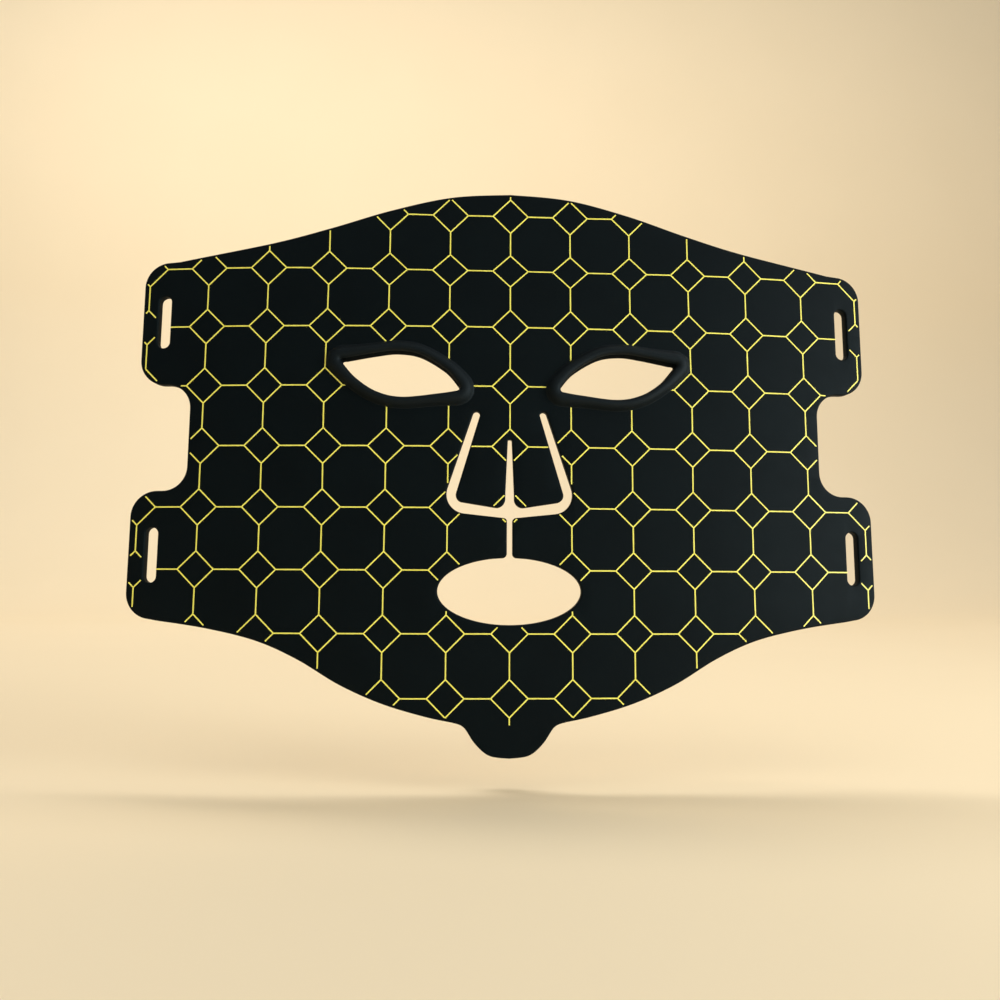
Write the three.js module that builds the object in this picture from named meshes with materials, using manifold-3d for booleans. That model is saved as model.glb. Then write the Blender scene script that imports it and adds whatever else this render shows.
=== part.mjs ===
// LED face mask: one thin, flexible silicone sheet with openings for the eyes, nose and mouth, four
// slotted strap tabs and, sealed inside it, a flexible circuit whose LEDs shine on the wearer's face.
//
// Row frame, millimetres: +Z up, the printed front faces -Y, the wearer's face is on the +Y side.
// Left and right are as seen from the front, so left is -X. The origin is on the sheet's rear
// surface, on the nose bridge, level with the middle of the eyes.
//
// The sheet is laid out flat and then bent. In the flat layout u runs across the sheet, v runs up
// it and w runs through it, from the wearer's side (0) to the front (THICKNESS).

import * as THREE from 'three';
import { mergeVertices } from 'three/addons/utils/BufferGeometryUtils.js';
import { TessellateModifier } from 'three/addons/modifiers/TessellateModifier.js';
import Module from 'manifold-3d';

const wasm = await Module();
wasm.setup();

// ---------------------------------------------------------------- driving dimensions

const PITCH = 22.5;                 // printed pattern's pitch, which the LEDs follow
const THICKNESS = 3.2;              // whole sheet
const FRONT_SKIN = 1.0;             // opaque printed skin
const REAR_SKIN = 0.7;              // clear skin on the wearer's side
const EDGE_WALL = 1.4;              // front skin folded round every edge of the sheet
const LAYER_GAP = 0.25;             // between the layers of the sheet
const FIT_GAP = 0.3;                // between any other two pieces

const CURVE_SQUARE = 3.6e-4;        // sheet depth = CURVE_SQUARE u^2 + CURVE_FOURTH u^4 ...
const CURVE_FOURTH = 4.9e-9;
const CURVE_END = 5.25 * PITCH;     // ... and straight outside this line, so the tabs are flat
const BEND_STEP = 30;               // longest facet across the sheet

const UPPER_TAB_SIDE = 137.1;       // from the middle to the tabs' outer edges
const LOWER_TAB_SIDE = 137.8;
const NOTCH_EDGE = 117.5;           // inner edge of the notch in front of each ear
const NOTCH_TOP = 0.5;
const NOTCH_BOTTOM = -39;
const TAB_RADIUS = 9.5;
const NOTCH_RADIUS = 8.9;
const UPPER_TAB_TOP = 46.4;
const LOWER_TAB_BOTTOM = -84.5;

const TOP_EDGE = [[0, 74.6], [22, 73], [45, 67.5], [67.5, 60.4], [90, 54.4], [124, 48]];
const BOTTOM_EDGE = [
  [126, -85.9], [108, -88.5], [90, -92.7], [75, -99.1], [60, -107.8], [45, -114.3], [30, -118.7], [20, -120.8],
];
const CHIN_TAB_EDGE = [[20, -120.8], [16, -122.4], [12, -128], [7, -132.1], [0, -133.1]];

const SLOT_WIDTH = 4.7;             // strap slots
const SLOT_HEIGHT = 20;
const UPPER_SLOT = [128.9, 24.6];     // their centres
const LOWER_SLOT = [129.4, -62.4];

const WING_SEAM = 3.25 * PITCH;     // the sheet bends backwards along these upright lines
const TAB_SEAM = 5.25 * PITCH;
const SEAM_GAP = 0.5;
const TAB_SPLIT_V = -19.4;          // between the upper and the lower tab

const EYE_UPPER_EDGE = [[19.2, 0.6], [23.9, 5.9], [33, 11.3], [41.3, 12.7], [49, 11.9], [60.4, 9.8]];
const EYE_LOWER_EDGE = [[61.8, 8.6], [56.5, 2.6], [48.8, -2.5], [39.5, -4.5], [26.2, -3.1], [20, -2.1]];
const EYE_INNER_CORNER = [17.6, -1.8];
const EYE_OUTER_CORNER = [62.9, 9.8];
const EYE_SEGMENTS = 30;
const GUARD_NECK = 2.0;             // from the eye opening to the skins' edge
const GUARD_BEAD = 4.3;             // width of the raised bead
const GUARD_RISE = 2.4;             // bead height above the front
const GUARD_LIP = 1.1;              // lip height behind the rear

const MOUTH_V = -75;
const MOUTH_HALF_WIDTH = 25.9;
const MOUTH_HALF_HEIGHT = 12;
const LIP_SLIT_WIDTH = 2.0;         // slit from the nose opening to the mouth
const FLAP_ROOT_TIP = [0, -20];     // each flap bends along the line from here ...
const FLAP_ROOT_TOP = [10.9, -10.7];  // ... to here
const NOSE_SLIT_TOP = [12.3, -10.6];
const NOSE_SLIT_TOP_RADIUS = 1.3;
const NOSE_OPENING_CORNER = [25.4, -46.1];
const NOSE_OPENING_RADIUS = 7.2;
const NOSE_OPENING_BOTTOM = -48.7;
const FLAP_OUTER_CORNER = [20.3, -42.4];
const FLAP_INNER_CORNER = [1.6, -45.4];

const LED_LENGTH = 3.5;
const LED_WIDTH = 2.8;
const LED_HEIGHT = 0.55;
const LED_MARGIN = 4.4;             // from an LED's centre to any edge
const TRACE_WIDTH = 0.8;
const TRACE_HEIGHT = 0.15;
const CIRCUIT = 0.2;
const CIRCUIT_INSET = 3.6;

const LED_TOP = THICKNESS - FRONT_SKIN - 2 * LAYER_GAP - CIRCUIT;
const LED_BOTTOM = LED_TOP - LED_HEIGHT;
const CIRCUIT_BOTTOM = LED_TOP + LAYER_GAP;
const CIRCUIT_TOP = CIRCUIT_BOTTOM + CIRCUIT;

const SOCKET_BOTTOM = -131.4;       // Z of the housing's bottom face
const HOUSING_SIZE = [15, 5.6, 13.4];
const HOUSING_RADIUS = 1.8;
const SHELL_WIDTH = 8.94;
const SHELL_HEIGHT = 3.16;
const SHELL_LENGTH = 7.3;
const SHELL_WALL = 0.3;
const TONGUE_SIZE = [6.6, 0.7, 5.6];
const BOARD_SIZE = [8.8, 1, 3.4];
const TAIL_WIDTH = 6;
const TAIL_FRONT_TOP = -116.6;      // Z where the tail meets the circuit
const TAIL_BEND = -119.6;           // Z where it passes through the rear skin

const ARC_STEP = Math.PI / 7;

// ---------------------------------------------------------------- materials

function plain(color, roughness, metalness = 0) {
  return () => new THREE.MeshStandardMaterial({ color, roughness, metalness });
}

const blackSilicone = plain(0x0a0f12, 0.72);
const slateSilicone = plain(0x1b2429, 0.55);
const clearSilicone = plain(0xb9bfc2, 0.45);
const circuitFilm = plain(0xb8842c, 0.5);
const ledBody = plain(0xe9e4c8, 0.4);
const steel = plain(0xb8bcc0, 0.3, 1);
const blackPlastic = plain(0x15181a, 0.5);
const greenBoard = plain(0x1f5a38, 0.5);

// ---------------------------------------------------------------- flat outlines

const vector = ([u, v]) => new THREE.Vector2(u, v);
const mirrored = (points) => points.map((p) => new THREE.Vector2(-p.x, p.y));

function spline(points, divisions) {
  return new THREE.SplineCurve(points.map(vector)).getPoints(divisions);
}

// Points of an arc that rounds the corner between two straight edges.
function roundCorner(before, corner, after, radius) {
  const back = before.clone().sub(corner).normalize();
  const ahead = after.clone().sub(corner).normalize();
  const halfAngle = Math.acos(back.dot(ahead)) / 2;
  const middle = back.clone().add(ahead).normalize();
  const centre = corner.clone().addScaledVector(middle, radius / Math.sin(halfAngle));
  const reach = radius / Math.tan(halfAngle);
  const start = corner.clone().addScaledVector(back, reach).sub(centre);
  const sweep = Math.PI - 2 * halfAngle;
  const turn = Math.sign(back.cross(ahead)) * -1;
  const steps = Math.max(2, Math.ceil(sweep / ARC_STEP));
  const arc = [];
  for (let i = 0; i <= steps; i++) {
    const angle = turn * sweep * i / steps;
    arc.push(start.clone().rotateAround(new THREE.Vector2(), angle).add(centre));
  }
  return arc;
}

// A closed loop from corners [u, v, radius], where a corner with no radius stays sharp.
function roundedLoop(corners) {
  const count = corners.length;
  return corners.flatMap((corner, i) => {
    const here = vector(corner);
    if (!corner[2]) return [here];
    const before = vector(corners[(i + count - 1) % count]);
    const after = vector(corners[(i + 1) % count]);
    return roundCorner(before, here, after, corner[2]);
  });
}

// A closed loop moved outwards by a distance, or inwards by a negative one.
function offsetLoop(loop, distance) {
  const side = Math.sign(THREE.ShapeUtils.area(loop)) * distance;
  const count = loop.length;
  return loop.map((point, i) => {
    const before = point.clone().sub(loop[(i + count - 1) % count]).normalize();
    const after = loop[(i + 1) % count].clone().sub(point).normalize();
    const along = before.clone().add(after).normalize();
    const mitre = side / along.dot(after);
    return new THREE.Vector2(point.x + along.y * mitre, point.y - along.x * mitre);
  });
}

function closedLoop(rightHalf) {
  const left = mirrored(rightHalf).reverse();
  return [...rightHalf, ...left.filter((p) => Math.abs(p.x) > 1e-6)];
}

function sheetLoop() {
  const rightHalf = [
    ...spline(TOP_EDGE, 9),
    ...roundedLoop([
      [NOTCH_EDGE, UPPER_TAB_TOP + 3],
      [UPPER_TAB_SIDE, UPPER_TAB_TOP, TAB_RADIUS],
      [UPPER_TAB_SIDE, NOTCH_TOP, TAB_RADIUS],
      [NOTCH_EDGE, NOTCH_TOP, NOTCH_RADIUS],
      [NOTCH_EDGE, NOTCH_BOTTOM, NOTCH_RADIUS],
      [LOWER_TAB_SIDE, NOTCH_BOTTOM, TAB_RADIUS],
      [LOWER_TAB_SIDE, LOWER_TAB_BOTTOM, TAB_RADIUS],
      [NOTCH_EDGE, LOWER_TAB_BOTTOM - 2],
    ]).slice(1, -1),
    ...spline(BOTTOM_EDGE, 11),
    ...spline(CHIN_TAB_EDGE, 6).slice(1),
  ];
  return closedLoop(rightHalf);
}

function mouthLoop() {
  const ellipse = new THREE.EllipseCurve(0, MOUTH_V, MOUTH_HALF_WIDTH, MOUTH_HALF_HEIGHT);
  return ellipse.getPoints(28).slice(0, -1);
}

function lipSlitLoop() {
  const side = LIP_SLIT_WIDTH / 2;
  const bottom = MOUTH_V + MOUTH_HALF_HEIGHT - 3;
  const top = NOSE_OPENING_BOTTOM + 3;
  return [[-side, bottom], [side, bottom], [side, top], [-side, top]].map(vector);
}

// The nose opening: two slanted slits joined across the bottom, with the flaps' root between them.
function noseOpeningLoop() {
  const slitTop = vector(NOSE_SLIT_TOP);
  const slitArc = [];
  for (let i = 0; i <= 6; i++) {
    const angle = Math.PI - i * Math.PI / 6;
    const spoke = new THREE.Vector2(NOSE_SLIT_TOP_RADIUS, 0).rotateAround(new THREE.Vector2(), angle);
    slitArc.push(spoke.add(slitTop));
  }
  const lastOfSlit = slitArc[slitArc.length - 1];
  const corner = vector(NOSE_OPENING_CORNER);
  const bottom = new THREE.Vector2(0, NOSE_OPENING_BOTTOM);
  return closedLoop([
    vector(FLAP_ROOT_TIP),
    vector(FLAP_ROOT_TOP),
    ...slitArc,
    ...roundCorner(lastOfSlit, corner, bottom, NOSE_OPENING_RADIUS),
    bottom,
  ]);
}

function noseFlapLoop() {
  const root = vector(FLAP_ROOT_TOP).sub(vector(FLAP_ROOT_TIP)).normalize();
  const clear = new THREE.Vector2(root.y, -root.x).multiplyScalar(SEAM_GAP);
  const rootTop = vector(FLAP_ROOT_TOP).add(clear);
  const rootTip = vector(FLAP_ROOT_TIP).add(clear).addScaledVector(root, 0.8);
  return roundedLoop([
    [rootTip.x, rootTip.y],
    [FLAP_INNER_CORNER[0], FLAP_INNER_CORNER[1] + 5],
    [...FLAP_INNER_CORNER, 3.2],
    [...FLAP_OUTER_CORNER, 2.6],
    [rootTop.x, rootTop.y],
  ]);
}

function slotLoop(side, [centreU, centreV]) {
  const half = SLOT_HEIGHT / 2;
  const left = side * centreU - SLOT_WIDTH / 2;
  const right = side * centreU + SLOT_WIDTH / 2;
  const radius = 0.49 * SLOT_WIDTH;
  return roundedLoop([
    [left, centreV - half, radius],
    [right, centreV - half, radius],
    [right, centreV + half, radius],
    [left, centreV + half, radius],
  ]);
}

// The right eye opening as a closed curve, anticlockwise.
function eyeCurve() {
  const shape = new THREE.Shape();
  shape.moveTo(...EYE_LOWER_EDGE[5]);
  shape.splineThru(EYE_LOWER_EDGE.slice(0, 5).reverse().map(vector));
  shape.quadraticCurveTo(...EYE_OUTER_CORNER, ...EYE_UPPER_EDGE[5]);
  shape.splineThru(EYE_UPPER_EDGE.slice(0, 5).reverse().map(vector));
  shape.quadraticCurveTo(...EYE_INNER_CORNER, ...EYE_LOWER_EDGE[5]);
  return shape;
}

function eyePoint(curve, t, offset) {
  const point = curve.getPointAt(t % 1);
  const tangent = curve.getTangentAt(t % 1);
  return new THREE.Vector2(point.x + tangent.y * offset, point.y - tangent.x * offset);
}

function eyeLoop(offset) {
  const curve = eyeCurve();
  const loop = [];
  for (let i = 0; i < EYE_SEGMENTS; i++) {
    loop.push(eyePoint(curve, i / EYE_SEGMENTS, offset));
  }
  return loop;
}

// ---------------------------------------------------------------- flat solids

function toSolid(geometry) {
  geometry.deleteAttribute('normal');
  geometry.deleteAttribute('uv');
  const merged = mergeVertices(geometry, 1e-4);
  const vertProperties = new Float32Array(merged.attributes.position.array);
  const triVerts = new Uint32Array(merged.index.array);
  return new wasm.Manifold(new wasm.Mesh({ numProp: 3, vertProperties, triVerts }));
}

function toGeometry(solid) {
  const mesh = solid.getMesh();
  const geometry = new THREE.BufferGeometry();
  geometry.setAttribute('position', new THREE.BufferAttribute(mesh.vertProperties, 3));
  geometry.setIndex(new THREE.BufferAttribute(mesh.triVerts, 1));
  return geometry;
}

function extrude(loop, low, high) {
  const geometry = new THREE.ExtrudeGeometry(new THREE.Shape(loop), {
    depth: high - low,
    bevelEnabled: false,
  });
  geometry.translate(0, 0, low);
  return toSolid(geometry);
}

function block(lowU, highU, lowV, highV, lowW, highW) {
  const geometry = new THREE.BoxGeometry(highU - lowU, highV - lowV, highW - lowW);
  geometry.translate((lowU + highU) / 2, (lowV + highV) / 2, (lowW + highW) / 2);
  return toSolid(geometry);
}

const openings = [
  mouthLoop(),
  lipSlitLoop(),
  noseOpeningLoop(),
  ...[-1, 1].flatMap((side) => [slotLoop(side, UPPER_SLOT), slotLoop(side, LOWER_SLOT)]),
];

// The sheet's outline with its openings, every edge drawn in by the same inset.
function sheetPlate(inset, low, high) {
  let plate = extrude(offsetLoop(sheetLoop(), -inset), low, high);
  for (const opening of openings) {
    plate = plate.subtract(extrude(offsetLoop(opening, inset), low - 1, high + 1));
  }
  return plate;
}

function cutEyes(plate, offset) {
  const right = eyeLoop(offset);
  for (const loop of [right, mirrored(right).reverse()]) {
    plate = plate.subtract(extrude(loop, -THICKNESS, 2 * THICKNESS));
  }
  return plate;
}

function frontSkin() {
  const pocket = sheetPlate(EDGE_WALL, -1, THICKNESS - FRONT_SKIN);
  return cutEyes(sheetPlate(0, 0, THICKNESS).subtract(pocket), GUARD_NECK + FIT_GAP);
}

function rearSkin() {
  const side = TAIL_WIDTH / 2 + FIT_GAP;
  const slot = block(-side, side, TAIL_BEND - 0.7, TAIL_BEND + 0.7, -1, THICKNESS);
  const skin = sheetPlate(EDGE_WALL + FIT_GAP, 0, REAR_SKIN).subtract(slot);
  return cutEyes(skin, GUARD_NECK + FIT_GAP);
}

function circuit() {
  const film = sheetPlate(CIRCUIT_INSET, CIRCUIT_BOTTOM, CIRCUIT_TOP);
  const chin = block(-LOWER_TAB_SIDE, LOWER_TAB_SIDE, -200, TAIL_FRONT_TOP + FIT_GAP, -1, THICKNESS);
  return cutEyes(film.subtract(chin), GUARD_NECK + 1.5);
}

// The part of a sheet layer between two upright lines, on one side of the sheet.
function span(layer, lowU, highU, lowV = -200, highV = 200) {
  return layer.intersect(block(lowU, highU, lowV, highV, -10, 10));
}

// ---------------------------------------------------------------- LEDs

function distanceToLoop(point, loop) {
  let nearest = Infinity;
  loop.forEach((start, i) => {
    const end = loop[(i + 1) % loop.length];
    const edge = end.clone().sub(start);
    const along = THREE.MathUtils.clamp(point.clone().sub(start).dot(edge) / edge.lengthSq(), 0, 1);
    nearest = Math.min(nearest, point.distanceTo(start.clone().addScaledVector(edge, along)));
  });
  return nearest;
}

function isInside(point, loop) {
  let inside = false;
  loop.forEach((start, i) => {
    const end = loop[(i + 1) % loop.length];
    const crosses = (start.y > point.y) !== (end.y > point.y);
    const at = start.x + (end.x - start.x) * (point.y - start.y) / (end.y - start.y);
    if (crosses && point.x < at) inside = !inside;
  });
  return inside;
}

// LED centres: one under each diamond and one under each octagon of the printed pattern, wherever
// the sheet leaves room for it.
function ledCentres() {
  const outline = sheetLoop();
  const rightEye = eyeLoop(GUARD_NECK);
  const holes = [...openings, rightEye, mirrored(rightEye)];
  const centres = [];
  for (let row = -12; row <= 12; row++) {
    for (let column = -12; column <= 12; column++) {
      if ((row + column) % 2 !== 0) continue;
      const centre = new THREE.Vector2(column * PITCH / 2, row * PITCH / 2);
      const clear = [outline, ...holes].every((loop) => distanceToLoop(centre, loop) > LED_MARGIN);
      const onSheet = isInside(centre, outline) && !holes.some((loop) => isInside(centre, loop));
      const beforeTabs = Math.abs(centre.x) < TAB_SEAM - LED_MARGIN;
      if (clear && onSheet && beforeTabs) centres.push(centre);
    }
  }
  return centres;
}

function ledPackage(centre) {
  const halfLength = LED_LENGTH / 2;
  const halfWidth = LED_WIDTH / 2;
  return block(centre.x - halfLength, centre.x + halfLength, centre.y - halfWidth,
    centre.y + halfWidth, LED_BOTTOM, LED_TOP);
}

// One zone of LEDs: a feed line along each row, joined by an upright spine.
function ledArray(centres, spineU) {
  const half = TRACE_WIDTH / 2;
  const traceBottom = LED_TOP - TRACE_HEIGHT;
  const rows = [...new Set(centres.map((centre) => centre.y))];
  let array = block(spineU - half, spineU + half, Math.min(...rows) - half,
    Math.max(...rows) + half, traceBottom, LED_TOP);
  for (const v of rows) {
    const across = [spineU, ...centres.filter((centre) => centre.y === v).map((centre) => centre.x)];
    array = array.add(block(Math.min(...across) - half, Math.max(...across) + half, v - half,
      v + half, traceBottom, LED_TOP));
  }
  for (const centre of centres) {
    array = array.add(ledPackage(centre));
  }
  return array;
}

// ---------------------------------------------------------------- bending the sheet

function sheetDepth(u) {
  const a = Math.min(Math.abs(u), CURVE_END);
  return CURVE_SQUARE * a ** 2 + CURVE_FOURTH * a ** 4 + sheetSlope(a) * (Math.abs(u) - a);
}

function sheetSlope(u) {
  const a = THREE.MathUtils.clamp(u, -CURVE_END, CURVE_END);
  return 2 * CURVE_SQUARE * a + 4 * CURVE_FOURTH * a ** 3;
}

function bentPoint(u, v, w) {
  const angle = Math.atan(sheetSlope(u));
  return new THREE.Vector3(u + w * Math.sin(angle), sheetDepth(u) - w * Math.cos(angle), v);
}

// Splits a flat solid's facets across the sheet, then moves every vertex onto the bent sheet.
function bent(solid) {
  const squeeze = 100;
  let geometry = toGeometry(solid);
  geometry.scale(1, 1 / squeeze, 1 / squeeze);
  geometry = new TessellateModifier(BEND_STEP, 8).modify(geometry);
  geometry.scale(1, squeeze, squeeze);
  const positions = geometry.attributes.position;
  for (let i = 0; i < positions.count; i++) {
    const point = bentPoint(positions.getX(i), positions.getY(i), positions.getZ(i));
    positions.setXYZ(i, point.x, point.y, point.z);
  }
  const merged = mergeVertices(geometry, 1e-4);
  merged.computeVertexNormals();
  return merged;
}

// ---------------------------------------------------------------- eye guards

// A soft grommet: a raised bead in front, a neck through the skins and a low lip behind. The ring is
// a lathe turned round a circle and then drawn out along the eye opening.
function eyeGuard(side) {
  const front = THICKNESS + FIT_GAP;
  const top = THICKNESS + GUARD_RISE;
  const section = [
    [0, -0.5 * GUARD_LIP],
    [0.6, -GUARD_LIP],
    [3.0, -GUARD_LIP],
    [3.6, -0.7 * GUARD_LIP],
    [3.6, -FIT_GAP],
    [GUARD_NECK, -FIT_GAP],
    [GUARD_NECK, front],
    [GUARD_BEAD, front],
    [GUARD_BEAD - 0.2, front + 0.9],
    [GUARD_BEAD - 1.2, top - 0.3],
    [GUARD_BEAD / 2, top],
    [0.9, top - 0.3],
    [0, top - 1.1],
    [0, -0.5 * GUARD_LIP],
  ];
  const turned = 100;
  const profile = section.map(([offset, w]) => new THREE.Vector2(turned + offset, w));
  const geometry = new THREE.LatheGeometry(profile, EYE_SEGMENTS);
  const curve = eyeCurve();
  const positions = geometry.attributes.position;
  for (let i = 0; i < positions.count; i++) {
    const x = positions.getX(i);
    const z = positions.getZ(i);
    const around = Math.atan2(x, z) / (2 * Math.PI);
    const t = (Math.round(around * EYE_SEGMENTS) / EYE_SEGMENTS + 1) % 1;
    const flat = eyePoint(curve, t, Math.hypot(x, z) - turned);
    const point = bentPoint(flat.x, flat.y, positions.getY(i));
    positions.setXYZ(i, point.x, point.y, point.z);
  }
  const solid = toSolid(geometry);
  return toGeometry(side > 0 ? solid : solid.mirror([1, 0, 0]));
}

// ---------------------------------------------------------------- charging socket

// A rounded bar that runs upright, its section centred on X and Y.
function uprightBar(width, depth, radius, bottom, top) {
  const loop = roundedLoop([
    [-width / 2, -depth / 2, radius],
    [width / 2, -depth / 2, radius],
    [width / 2, depth / 2, radius],
    [-width / 2, depth / 2, radius],
  ]);
  return extrude(loop, bottom, top);
}

const [HOUSING_WIDTH, HOUSING_DEPTH, HOUSING_HEIGHT] = HOUSING_SIZE;
const SOCKET_Y = FIT_GAP + HOUSING_DEPTH / 2;
const CAVITY_DEPTH = SHELL_HEIGHT + 2 * FIT_GAP;

// The socket's pieces are modelled with their middle plane on Y = 0 and the bottom face on Z = 0.
function socketHousing() {
  const cavityTop = HOUSING_HEIGHT - 0.8;
  const cavity = uprightBar(SHELL_WIDTH + 2 * FIT_GAP, CAVITY_DEPTH, 1.8, -1, cavityTop);
  const tailTop = TAIL_BEND - SOCKET_BOTTOM + 0.6;
  const windowSide = TAIL_WIDTH / 2 + FIT_GAP;
  const tailWindow = block(-windowSide, windowSide, -HOUSING_DEPTH, 0, tailTop - 1.2, tailTop);
  const body = uprightBar(HOUSING_WIDTH, HOUSING_DEPTH, HOUSING_RADIUS, 0, HOUSING_HEIGHT);
  return toGeometry(body.subtract(cavity).subtract(tailWindow));
}

function socketShell() {
  const outer = uprightBar(SHELL_WIDTH, SHELL_HEIGHT, 0.49 * SHELL_HEIGHT, 0, SHELL_LENGTH);
  const boreHeight = SHELL_HEIGHT - 2 * SHELL_WALL;
  const bore = uprightBar(SHELL_WIDTH - 2 * SHELL_WALL, boreHeight, 0.49 * boreHeight, -1,
    SHELL_LENGTH + 1);
  return toGeometry(outer.subtract(bore));
}

// A flat tail that leaves the circuit, turns back through the rear skin and ends at the board.
function circuitTail() {
  const middle = (CIRCUIT_BOTTOM + CIRCUIT_TOP) / 2;
  const end = SOCKET_Y - BOARD_SIZE[1] / 2 - FIT_GAP;
  const half = CIRCUIT / 2;
  const outline = [
    [TAIL_FRONT_TOP, -middle - half],
    [TAIL_BEND - half, -middle - half],
    [TAIL_BEND - half, end],
    [TAIL_BEND + half, end],
    [TAIL_BEND + half, -middle + half],
    [TAIL_FRONT_TOP, -middle + half],
  ];
  const shape = new THREE.Shape(outline.map(([z, y]) => new THREE.Vector2(y, z)));
  const geometry = new THREE.ExtrudeGeometry(shape, { depth: TAIL_WIDTH, bevelEnabled: false });
  geometry.translate(0, 0, -TAIL_WIDTH / 2);
  const axes = new THREE.Matrix4().set(0, 0, 1, 0, 1, 0, 0, 0, 0, 1, 0, 0, 0, 0, 0, 1);
  return geometry.applyMatrix4(axes);
}

// ---------------------------------------------------------------- assembly

function part(name, geometry, material) {
  const mesh = new THREE.Mesh(geometry, material());
  mesh.name = name;
  return mesh;
}

const front = frontSkin();
const rear = rearSkin();
const film = circuit();
const leds = ledCentres();
const halfGap = SEAM_GAP / 2;

function centreBody() {
  const group = new THREE.Group();
  const edge = WING_SEAM - halfGap;
  group.add(part('centre_front_skin', bent(span(front, -edge, edge)), blackSilicone));
  group.add(part('centre_rear_skin', bent(span(rear, -edge, edge)), clearSilicone));
  group.add(part('centre_flex_circuit', bent(span(film, -edge, edge)), circuitFilm));
  const cheekSpine = 3 * PITCH;
  const zones = [
    ['forehead_led_array', 0, ({ x, y }) => Math.abs(x) < edge && y > 0.8 * PITCH],
    ['nose_bridge_led_array', 0, ({ x, y }) => Math.abs(x) < 0.8 * PITCH && Math.abs(y) < 0.8 * PITCH],
    ['left_cheek_led_array', -cheekSpine, ({ x, y }) => isCheek(-x, y, edge)],
    ['right_cheek_led_array', cheekSpine, ({ x, y }) => isCheek(x, y, edge)],
    ['chin_led_array', 0, ({ x, y }) => Math.abs(x) < edge && y < -3.8 * PITCH],
  ];
  for (const [name, spineU, belongs] of zones) {
    group.add(part(name, bent(ledArray(leds.filter(belongs), spineU)), ledBody));
  }
  group.add(part('left_eye_guard', eyeGuard(-1), slateSilicone));
  group.add(part('right_eye_guard', eyeGuard(1), slateSilicone));
  return group;
}

function isCheek(x, y, edge) {
  const besideEye = x > 2.8 * PITCH && Math.abs(y) < 0.8 * PITCH;
  const belowEye = x > 0 && y < -0.4 * PITCH && y > -3.8 * PITCH;
  return x < edge && (besideEye || belowEye);
}

function socketBody() {
  const group = new THREE.Group();
  group.position.set(0, SOCKET_Y, SOCKET_BOTTOM);
  group.add(part('socket_housing', socketHousing(), blackPlastic));
  const shell = part('socket_shell', socketShell(), steel);
  shell.position.z = 0.2;
  group.add(shell);
  const tongue = part('socket_tongue', new THREE.BoxGeometry(...TONGUE_SIZE), blackPlastic);
  tongue.position.z = 1.4 + TONGUE_SIZE[2] / 2;
  group.add(tongue);
  const board = part('socket_board', new THREE.BoxGeometry(...BOARD_SIZE), greenBoard);
  board.position.z = SHELL_LENGTH + 0.6 + BOARD_SIZE[2] / 2;
  group.add(board);
  return group;
}

function wingBody(name, side) {
  const group = new THREE.Group();
  const inner = WING_SEAM + halfGap;
  const outer = TAB_SEAM - halfGap;
  const range = side > 0 ? [inner, outer] : [-outer, -inner];
  const wingLeds = leds.filter(({ x }) => side * x > inner);
  group.add(part(`${name}_front_skin`, bent(span(front, ...range)), blackSilicone));
  group.add(part(`${name}_rear_skin`, bent(span(rear, ...range)), clearSilicone));
  group.add(part(`${name}_flex_circuit`, bent(span(film, ...range)), circuitFilm));
  group.add(part(`${name}_led_array`, bent(ledArray(wingLeds, side * 4 * PITCH)), ledBody));
  return group;
}

function strapTab(name, side, lowV, highV) {
  const group = new THREE.Group();
  const inner = TAB_SEAM + halfGap;
  const range = side > 0 ? [inner, 200] : [-200, -inner];
  group.add(part(`${name}_front_skin`, bent(span(front, ...range, lowV, highV)), blackSilicone));
  group.add(part(`${name}_rear_skin`, bent(span(rear, ...range, lowV, highV)), clearSilicone));
  return group;
}

function noseFlap(name, side) {
  const group = new THREE.Group();
  const right = noseFlapLoop();
  const loop = side > 0 ? right : mirrored(right).reverse();
  const pocket = extrude(offsetLoop(loop, -EDGE_WALL), -1, THICKNESS - FRONT_SKIN);
  const skin = extrude(loop, 0, THICKNESS).subtract(pocket);
  const rearLoop = offsetLoop(loop, -EDGE_WALL - FIT_GAP);
  const filmLoop = offsetLoop(loop, -EDGE_WALL - 2 * FIT_GAP);
  const led = new THREE.Vector2(side * PITCH / 2, -1.5 * PITCH);
  group.add(part(`${name}_front_skin`, bent(skin), blackSilicone));
  group.add(part(`${name}_rear_skin`, bent(extrude(rearLoop, 0, REAR_SKIN)), clearSilicone));
  group.add(part(`${name}_flex_circuit`, bent(extrude(filmLoop, CIRCUIT_BOTTOM, CIRCUIT_TOP)),
    circuitFilm));
  group.add(part(`${name}_led`, bent(ledPackage(led)), ledBody));
  return group;
}

const mask = new THREE.Group();
mask.add(centreBody());
mask.add(socketBody());
mask.add(part('circuit_tail', circuitTail(), circuitFilm));
for (const [name, side] of [['left', -1], ['right', 1]]) {
  mask.add(wingBody(`${name}_wing`, side));
  mask.add(strapTab(`${name}_upper_tab`, side, TAB_SPLIT_V, 200));
  mask.add(strapTab(`${name}_lower_tab`, side, -200, TAB_SPLIT_V));
  mask.add(noseFlap(`${name}_nose_flap`, side));
}

export default mask;
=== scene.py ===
import math

import bmesh
import bpy
import numpy as np
from mathutils import Matrix, Vector


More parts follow.
